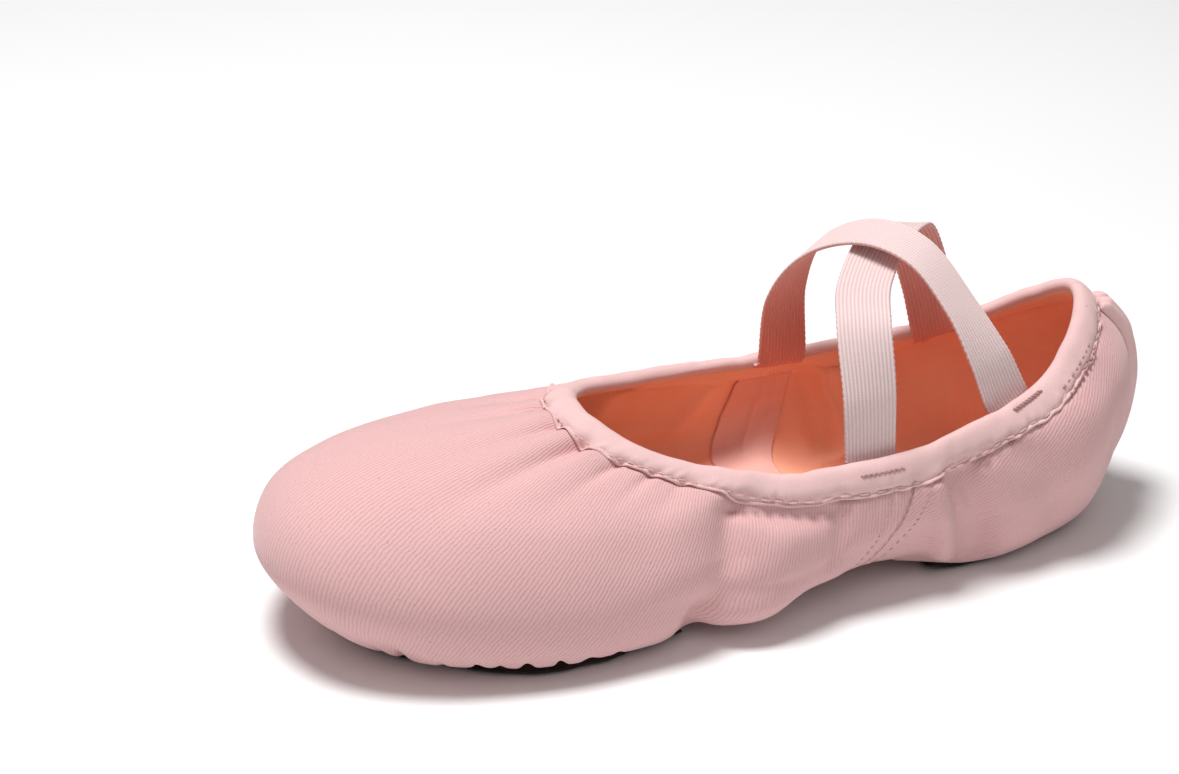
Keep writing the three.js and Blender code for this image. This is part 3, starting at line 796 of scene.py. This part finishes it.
def casing():
    n = steps(900)
    u = np.linspace(0, TURN, n, endpoint=False)
    a = signed(_ARC, u)
    outline = np.array([
        [9.0, 0.15], [8.95, 0.45], [8.7, 0.68], [8.4, 0.66], [8.15, 0.42], [7.95, 0.25], [7.75, 0.4],
        [7.4, 0.75], [6.7, 1.02], [5.6, 1.18], [4.4, 1.22], [3.2, 1.2], [2.2, 1.1], [1.3, 0.8],
        [0.6, 0.3], [0.15, -0.35], [0.0, -1.0], [0.2, -1.7], [0.7, -2.25], [1.35, -2.55], [1.9, -2.62],
        [2.05, -2.9], [2.4, -3.05], [4.0, -3.1], [6.0, -3.0], [7.6, -2.8], [7.8, -2.5], [7.6, -2.2],
        [4.0, -2.1], [2.2, -1.9], [1.5, -1.5], [1.2, -0.9], [1.5, -0.3], [2.6, 0.1], [5.0, 0.12],
        [8.2, 0.1]])
    drop = outline[None, :, 0] + 0 * u[:, None]
    out = outline[None, :, 1] + 0 * u[:, None]
    low = smooth(drop, 5.5, 8.2) * (out > 0)
    drop = drop + low * ditch(a)[:, None]
    lip = smooth(drop, 8.1, 8.6) * (out > 0)
    out = out + lip * 0.35 * noise(a / 2.2 + 70, 21)[:, None]
    puff = window(drop, 1.0, 7.4, 0.8) * (out > 0.25)
    out = out + puff * (0.30 * noise(a / 11 + 50, 22) + 0.16 * noise(a / 3.4 + 90, 23))[:, None]
    out = out + window(drop, 5.8, 7.6, 0.7) * (out > 0.2) \
        * 0.34 * noise(a / 1.6 + 120, 24)[:, None]
    rise = 0.35 * noise(a / 17 + 10, 25) + 0.15 * noise(a / 5 + 10, 26)
    drop = np.maximum(drop - RISE_SHARE * rise[:, None] * (1 - smooth(drop, 2, 7)), 0.0)
    base = relief(u, v_at(u, 9.5 + 0 * u)) * 0.85
    rows = plain(u[:, None], v_at(u[:, None], drop), out + base[:, None] * smooth(drop, 5, 9))
    rows[..., 2] += rise[:, None] * (1 - smooth(drop, 1, 6))
    across = np.concatenate([[0], np.cumsum(np.linalg.norm(np.diff(outline, axis=0), axis=1))])
    across = np.append(across, across[-1] + 1)
    uv = np.stack(np.broadcast_arrays(np.linspace(0, ROUND, n + 1)[:, None], across[None, :]), axis=-1)
    obj = tube_rows("topline_casing", rows, uv, casing_cloth, wrap_u=True)
    obj.data.materials.append(lining)
    facing = np.tile((np.arange(len(outline)) >= 20) & (np.arange(len(outline)) <= 27), n)
    obj.data.polygons.foreach_set("material_index", facing.astype(np.int32))
    return attach(obj, "forefoot", ["topline_casing"])


casing()


def ring_place(drop, out, u0, u1, wander=True):
    def place(t):
        u = u0 + (u1 - u0) * np.asarray(t)
        d = drop + (ditch(signed(_ARC, u)) if wander else 0)
        v = v_at(u, d + 0 * u)
        return plain(u, v, out + 0 * u), normal(u, v)
    return place


def drawcord():
    n = steps(360)
    u = np.linspace(0.12, TURN - 0.12, n)
    v = v_at(u, 2.75 + 0 * u)
    centre = plain(u, v, -0.95 + 0 * u)
    t = np.gradient(centre, axis=0)
    t /= np.linalg.norm(t, axis=1, keepdims=True)
    nrm = normal(u, v)
    side = np.cross(t, nrm)
    ang = np.linspace(0, 2 * np.pi, 10, endpoint=False)
    rows = centre[:, None] + 0.95 * (np.cos(ang)[None, :, None] * nrm[:, None]
                                     + np.sin(ang)[None, :, None] * side[:, None])
    length = np.concatenate([[0], np.cumsum(np.linalg.norm(np.diff(centre, axis=0), axis=1))])
    uv = np.stack(np.broadcast_arrays(np.linspace(0, 6, 11)[None, :], length[:, None]), axis=-1)
    obj = tube_rows("drawcord", rows, uv, cord_look)
    return attach(obj, "forefoot", ["drawcord"])


drawcord()

obj = row_of_stitches("topline_stitching", ring_place(7.9, 0.42, 0.02, TURN - 0.02), ROUND,
                      2.2, 1.1, 0.27, thread)
attach(obj, "forefoot", ["topline_stitching"])


def seam_rows(side, row, shift):
    sign = 1 if side == "left" else -1

    def place(t):
        v_low = 1.15
        k = seam(sign, v_low + 2.1 * np.asarray(t)) + shift
        u = k if sign > 0 else TURN - k
        v = v_low + (v_at(u, 10.2 + 0 * u) - v_low) * t
        return cloth(u, v, 0.16 + 0 * u), normal(u, v)
    name = f"side_seam_stitching_{side}_{row}"
    obj = row_of_stitches(name, place, 24, 0.95, 0.75, 0.24, thread, dip=0.5)
    attach(obj, "heel", [name])


for side in ("left", "right"):
    for row, shift in (("front", -0.2), ("back", 0.2)):
        seam_rows(side, row, shift)


def tack(name, u0, u1, drop, out, count, tilt, node):
    """A bar tack: short slanting stitches side by side across the casing."""
    t = (np.arange(count) + 0.5) / count
    u = u0 + (u1 - u0) * t
    lean = (u1 - u0) / count * tilt
    p0 = plain(u - lean, v_at(u, drop - 0.45 + 0 * u), out + 0 * u)
    p1 = plain(u + lean, v_at(u, drop + 0.45 + 0 * u), out + 0 * u)
    obj = stitches(name, p0, p1, normal(u, v_at(u, drop + 0 * u)), 0.3, shaded_thread, dip=0.6)
    attach(obj, "heel", node)


FRONT, REAR = 5.58, 7.5
for side in ("left", "right"):
    round_ = (lambda x: x) if side == "left" else (lambda x: TURN - x)
    tack(f"strap_tack_front_{side}", round_(FRONT - 0.14), round_(FRONT + 0.26), 3.6, 1.3, 9, 0.8,
         [f"strap_tack_front_{side}"])
    tack(f"strap_tack_rear_{side}", round_(REAR - 0.12), round_(REAR + 0.35), 2.2, 1.22, 9, 0.8,
         [f"strap_tack_rear_{side}"])

# where the casing's ends are sewn down beside the back seam, and its join at the back
for name, drop, out in (("casing_join_upper", 6.0, 1.22), ("casing_join_lower", 8.55, 0.75)):
    obj = row_of_stitches(name, ring_place(drop, out, 8.1, 8.9, False), 17, 1.5, 0.5, 0.34, shaded_thread)
    attach(obj, "heel", [])


def back_join(t):
    u = 9.42 + 0.05 * np.asarray(t)
    v = v_at(u, 1.6 + 5.6 * np.asarray(t))
    return plain(u, v, 1.2 - 0.25 * np.abs(np.asarray(t) * 2 - 1)), normal(u, v)


attach(row_of_stitches("casing_join_back", back_join, 6, 1.3, 0.7, 0.26, thread), "heel", [])


# ---------------------------------------------------------------- tapes and the back strip
def tape(side):
    sign = 1 if side == "left" else -1
    nu, nv = steps(26), steps(120)
    s = np.linspace(-1, 1, nu)[:, None]
    t = np.linspace(0, 1, nv)[None, :]
    k = seam(sign, 0.6 + 3 * t) + np.interp(t, [0, 0.5, 1], [0.4, 0.35, 0.24]) * s
    u = k if sign > 0 else TURN - k
    v = 0.55 + (v_at(u, 5.2 + 0 * u) - 0.55) * t
    curl = 0.25 * np.abs(s) ** 6
    outer = cloth(u, v, -INNER_D - 0.08 + 0 * u)
    inner = cloth(u, v, -INNER_D - 0.55 - curl + 0.12 * noise2(s * 2 + 9, t * 9 + 0 * s, 31))
    if sign < 0:
        outer, inner = outer[::-1], inner[::-1]
    uv = np.stack(np.broadcast_arrays(s * 8, t * 40), axis=-1)
    name = f"side_seam_tape_{side}"
    attach(shell(name, outer, inner, uv, tape_cloth), "heel", [name])


for side in ("left", "right"):
    tape(side)


def heel_strip():
    nu, nv = steps(30), steps(130)
    s = np.linspace(-1, 1, nu)[:, None]
    t = np.linspace(0, 1, nv)[None, :]
    u = HEEL + (0.27 + 0.02 * noise(t * 6, 41)) * s + 0.015 * noise(t * 4, 42)
    v = 1.3 + (v_at(u, 9.3 + 0 * u) - 1.3) * t
    crown = 3.1 * (1 - np.abs(s) ** 5.0) * smooth(t, -0.05, 0.07) * (1 - smooth(t, 0.96, 1.04)) + 0.25
    crown = crown - 1.3 * hump(s, -0.05, 0.09) - 0.5 * hump(s, -0.62, 0.07)
    crown = crown + 0.18 * noise2(s * 2 + 5, t * 10 + 0 * s, 43)
    outer = plain(u, v, 0.25 + crown)
    inner = plain(u, v, 0.1 + 0 * u)
    uv = np.stack(np.broadcast_arrays(s * 5.5, t * 52), axis=-1)
    attach(shell("heel_seam_strip", outer, inner, uv, strip_cloth), "heel", ["heel_seam_strip"])


heel_strip()


# ---------------------------------------------------------------- suede pads and insoles
def sole_pad(name, middle, half, bow, reach, low, high, material, body, uneven, crown=0.0):
    nu, nv = steps(300), steps(44)
    s = np.linspace(-1, 1, nu)[:, None]
    t = np.linspace(0, 1, nv)[None, :]
    u = middle + (half + bow * t * reach) * s
    edge = signed(_EDGE, u)
    v = t * reach * (1 + uneven * t * (0.02 * noise(edge / 6, 51) + 0.09 * bare(u) * (middle == 0)))
    rim = 1 - hump(1 - t, 0, 0.035) * 0.55
    ends = 1 - hump(1 - np.abs(s), 0, 0.012) * 0.55
    mid = (low + high) / 2
    swell = crown * (1 - t ** 4) * (1 - np.abs(s) ** 8)
    squash = rim * ends
    outer = plain(u, v, mid + (high - mid) * squash + 0 * u)
    inner = plain(u, v, mid + (low - mid) * squash - swell + 0 * u)
    outer[..., 2] = np.maximum(outer[..., 2], 0.0 if high > 0 else SOLE_TOP)
    uv = np.stack([outer[..., 0], outer[..., 1]], axis=-1)
    obj = shell(name, outer, inner, uv, material, True)
    attach(obj, body, [name])
    return obj


sole_pad("outsole_forefoot", 0, 3.95, 0.22, 0.9, 0.2, 1.75, suede, "forefoot", 1.0)
sole_pad("outsole_heel", HEEL, 3.5, -0.12, 0.9, 0.2, 1.75, suede, "heel", 1.0)
for place, middle, half, bow, body in (("forefoot", 0, 3.85, 0.2, "forefoot"),
                                       ("heel", HEEL, 3.1, 0, "heel")):
    pad = sole_pad(f"insole_foam_{place}", middle, half, bow, 0.78, -4.5, -2.1, foam, body, 0.0)
    pad = sole_pad(f"insole_cover_{place}", middle, half, bow, 0.80, -5.3, -4.55, insole_cloth,
                   body, 0.0, crown=0.7)


# ---------------------------------------------------------------- crossed straps
def centripetal(points, t):
    """The same curve as the CAD's straps: point and share t along it, by segment."""
    p = np.asarray(points, float)
    n = len(p)
    x = np.clip(np.asarray(t) * (n - 1), 0, n - 1 - 1e-9)
    i = x.astype(int)
    w = (x - i)[:, None]
    ext = np.concatenate([[2 * p[0] - p[1]], p, [2 * p[-1] - p[-2]]])
    p0, p1, p2, p3 = ext[i], ext[i + 1], ext[i + 2], ext[i + 3]

    def gap(a, b):
        return np.maximum(np.linalg.norm(b - a, axis=1, keepdims=True) ** 0.5, 1e-4)
    d0, d1, d2 = gap(p0, p1), gap(p1, p2), gap(p2, p3)
    m1 = ((p1 - p0) / d0 - (p2 - p0) / (d0 + d1) + (p2 - p1) / d1) * d1
    m2 = ((p2 - p1) / d1 - (p3 - p1) / (d1 + d2) + (p3 - p2) / d2) * d1
    return (p1 + m1 * w + (-3 * p1 + 3 * p2 - 2 * m1 - m2) * w ** 2
            + (2 * p1 - 2 * p2 + m1 + m2) * w ** 3)


STRAP_W, STRAP_T, RIBS = 13.6, 1.05, 14


def strap(name, side, arch, widths):
    def round_(u):
        return u if side > 0 else TURN - u

    def sewn(u, drop, depth):
        return plain(np.array([u]), v_at(np.array([u]), np.array([drop])), np.array([-depth]))[0] - SHIFT
    points = [sewn(round_(FRONT + b), d, depth) for b, d, depth in
              ((-0.01, 6.5, 2.4), (0, 3.6, 2.6), (0.02, 1, 3.7))]
    points += [np.array([side * x, y, z]) for x, y, z in arch]
    points += [sewn(TURN - round_(REAR + b), d, depth) for b, d, depth in
               ((0, 1, 3.9), (0.03, 3.6, 2.7), (0.06, 6.5, 2.4))]
    n = steps(420)
    t = np.linspace(0, 1, n)
    centre = centripetal(points, t) + SHIFT
    ahead = np.gradient(centre, axis=0)
    ahead /= np.linalg.norm(ahead, axis=1, keepdims=True)
    wide = centripetal([[side * x, y, z] for x, y, z in widths], t)
    wide -= ahead * (wide * ahead).sum(1, keepdims=True)
    wide /= np.linalg.norm(wide, axis=1, keepdims=True)
    face = np.cross(ahead, wide)
    length = np.concatenate([[0], np.cumsum(np.linalg.norm(np.diff(centre, axis=0), axis=1))])
    m = RIBS * 8 + 1
    x = np.linspace(-1, 1, m)
    rib = 0.08 * np.cos((x + 1) * np.pi * RIBS + np.pi)
    thick = STRAP_T / 2 * (1 - 0.45 * np.abs(x) ** 30)
    top = np.stack([x * STRAP_W / 2, thick + rib], axis=1)
    low = np.stack([x[::-1] * STRAP_W / 2, -(thick + rib)[::-1]], axis=1)
    outline = np.concatenate([top, low])
    scallop = 0.10 * np.sin(length * 2 * np.pi / 1.6)
    widen = 1 + (scallop / (STRAP_W / 2))[:, None] * (np.abs(outline[:, 0]) > STRAP_W / 2 - 0.3)
    rows = (centre[:, None] + wide[:, None] * (outline[None, :, 0] * widen)[..., None]
            + face[:, None] * outline[None, :, 1, None])
    rib_x = np.concatenate([(x + 1) / 2 * RIBS + 0.5, (x[::-1] + 1) / 2 * RIBS + 0.5])
    rib_x = np.append(rib_x, 0.5)
    uv = np.stack(np.broadcast_arrays(rib_x[None, :], length[:, None]), axis=-1)
    obj = tube_rows(name, rows, uv, elastic)
    # Faces towards the foot take the painted-shade elastic.
    obj.data.materials.append(elastic_painted_shade)
    low_face = np.arange(len(outline)) >= m
    towards_foot = ~low_face if side > 0 else low_face
    painted_shade_faces = np.zeros(len(obj.data.polygons), np.int32)
    painted_shade_faces[:(n - 1) * len(outline)] = np.tile(towards_foot, n - 1)
    obj.data.polygons.foreach_set("material_index", painted_shade_faces)
    return attach(obj, "heel", [name])


LENGTHWAYS = [0, 1, 0]                # the way a strap's width points where it is sewn
strap("strap_under", 1,
      [[28.5, 30.5, 58], [20.5, 31.8, 73], [3.5, 39.5, 75.5], [-14, 54, 80], [-22.5, 63, 76.5],
       [-24, 70.2, 60]],
      [LENGTHWAYS, LENGTHWAYS, LENGTHWAYS, [0.1, 1, 0.1], [0.4, 0.9, 0], [0.62, 0.79, 0], [0.55, 0.83, 0],
       [0.4, 0.9, 0], [0.25, 0.97, 0.2], [0.15, 1, 0.2], [0.2, 1, 0.3], [0.2, 1, 0.3]])
strap("strap_over", -1,
      [[29.5, 32.5, 59], [24.5, 37.5, 73.5], [11, 46.5, 82.4], [-3, 54.5, 81.4], [-14, 61.5, 70.2],
       [-20.5, 67, 58]],
      [LENGTHWAYS, LENGTHWAYS, LENGTHWAYS, [0.3, 0.95, 0.1], [0.6, 0.8, 0.1], [0.66, 0.75, 0.1],
       [0.66, 0.75, 0.05], [0.6, 0.8, 0], [0.4, 0.9, 0.1], [0.25, 0.95, 0.2], [0.2, 1, 0.3], [0.2, 1, 0.3]])


# ---------------------------------------------------------------- floor, light, camera
def floor():
    size, n = 3.0, 25
    g = np.linspace(-size, size, n) * 1000
    x, y = np.meshgrid(g, g, indexing="ij")
    p = np.stack([x, y, 0 * x - 0.05], axis=-1)
    m = Look("floor_paint", roughness=0.8, specular=0.1)
    tone = m.noise(m.space(), 3.0, 2)
    m.colour(m.ramp(tone, [(0.3, (0.90, 0.90, 0.90)), (0.7, (0.93, 0.93, 0.93))]))
    obj = mesh_object("floor", p, grid_faces(np.arange(n * n).reshape(n, n)), None, m.mat)


def area_light(name, position, target, size, power, colour=(1, 1, 1)):
    data = bpy.data.lights.new(name, "AREA")
    data.shape = "DISK"
    data.size = size
    data.energy = power
    data.color = colour
    obj = bpy.data.objects.new(name, data)
    bpy.context.scene.collection.objects.link(obj)
    obj.location = position
    obj.rotation_mode = "QUATERNION"
    obj.rotation_quaternion = (Vector(target) - Vector(position)).to_track_quat("-Z", "Y")
    return obj


floor()
world = bpy.data.worlds.new("studio")
bpy.context.scene.world = world
world.use_nodes = True
world.node_tree.nodes["Background"].inputs[0].default_value = (1.0, 0.99, 0.98, 1)
world.node_tree.nodes["Background"].inputs[1].default_value = 0.24
LIT = (0, 0, 0.03)
area_light("key", (-0.06, -0.22, 1.2), LIT, size=0.42, power=14.6)
area_light("fill", (0.75, 0.1, 1.0), LIT, size=0.9, power=1.2)

AZIMUTH, ELEVATION = math.radians(68.08), math.radians(29.27)
DISTANCE, LENS = 0.7004, 83.16        # metres from the slipper's middle, and mm
AIM = (-0.03143, 0.01778)             # across and up in the view, from the slipper's middle
MIDDLE = Vector((0, 0.00028, 0.030))


def place_camera():
    back = Vector((math.sin(AZIMUTH) * math.cos(ELEVATION), -math.cos(AZIMUTH) * math.cos(ELEVATION),
                   math.sin(ELEVATION)))
    right = Vector((0, 0, 1)).cross(back).normalized()
    up = back.cross(right)
    camera = bpy.data.objects.new("camera", bpy.data.cameras.new("camera"))
    bpy.context.scene.collection.objects.link(camera)
    bpy.context.scene.camera = camera
    camera.data.lens = LENS
    camera.data.sensor_width = 36
    camera.data.clip_start, camera.data.clip_end = 0.05, 20
    camera.location = MIDDLE + back * DISTANCE
    aim = MIDDLE + right * AIM[0] + up * AIM[1]
    camera.rotation_mode = "QUATERNION"
    camera.rotation_quaternion = (aim - camera.location).to_track_quat("-Z", "Y")


place_camera()
bpy.context.scene.view_settings.view_transform = "Standard"
